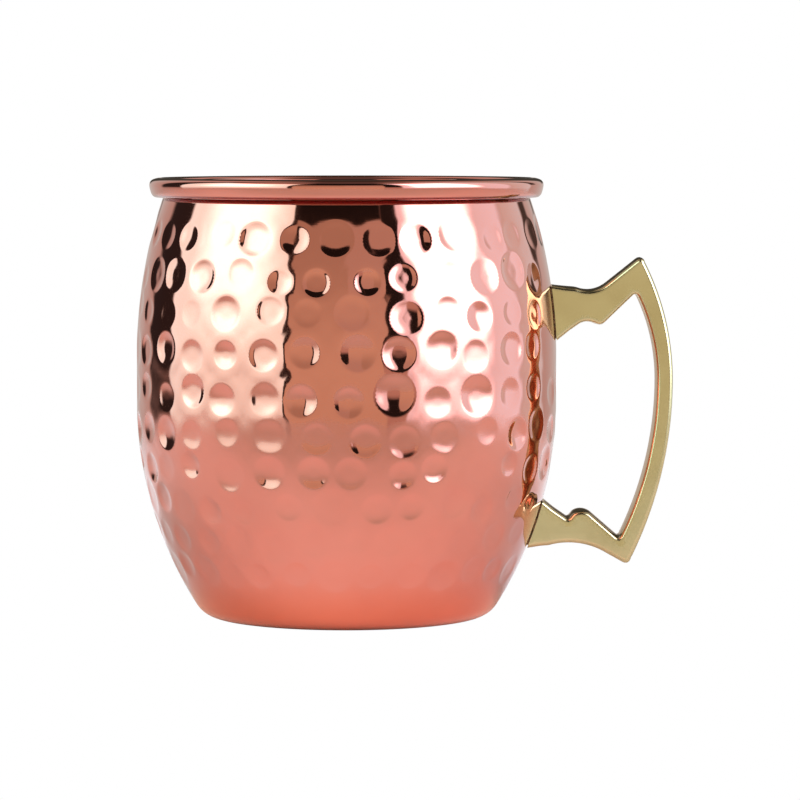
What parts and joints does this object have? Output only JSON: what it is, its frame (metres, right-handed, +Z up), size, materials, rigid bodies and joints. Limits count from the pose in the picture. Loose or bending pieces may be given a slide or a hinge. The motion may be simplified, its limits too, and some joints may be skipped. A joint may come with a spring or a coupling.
{
  "type": "mug",
  "caption": "Barrel-shaped copper mug with a rolled rim, a thin steel lining, a recessed base and an angular cast brass handle brazed to its side.",
  "frame": {"origin": "centre of the flat foot ring, on the cup's axis, in the plane that the mug stands on", "axes": "+Z up along the cup's axis; +X out through the middle of the handle; +Y across the handle"},
  "size_m": [0.1184, 0.0926, 0.097],
  "materials": {
    "copper": "polished hammered copper sheet",
    "lining": "spun satin stainless steel",
    "brass": "polished cast brass",
    "braze": "dull silver braze"
  },
  "bodies": {
    "root": {"copper_cup": "copper", "inner_lining": "lining", "handle": "brass", "upper_braze": "braze", "lower_braze": "braze"}
  },
  "joints": []
}
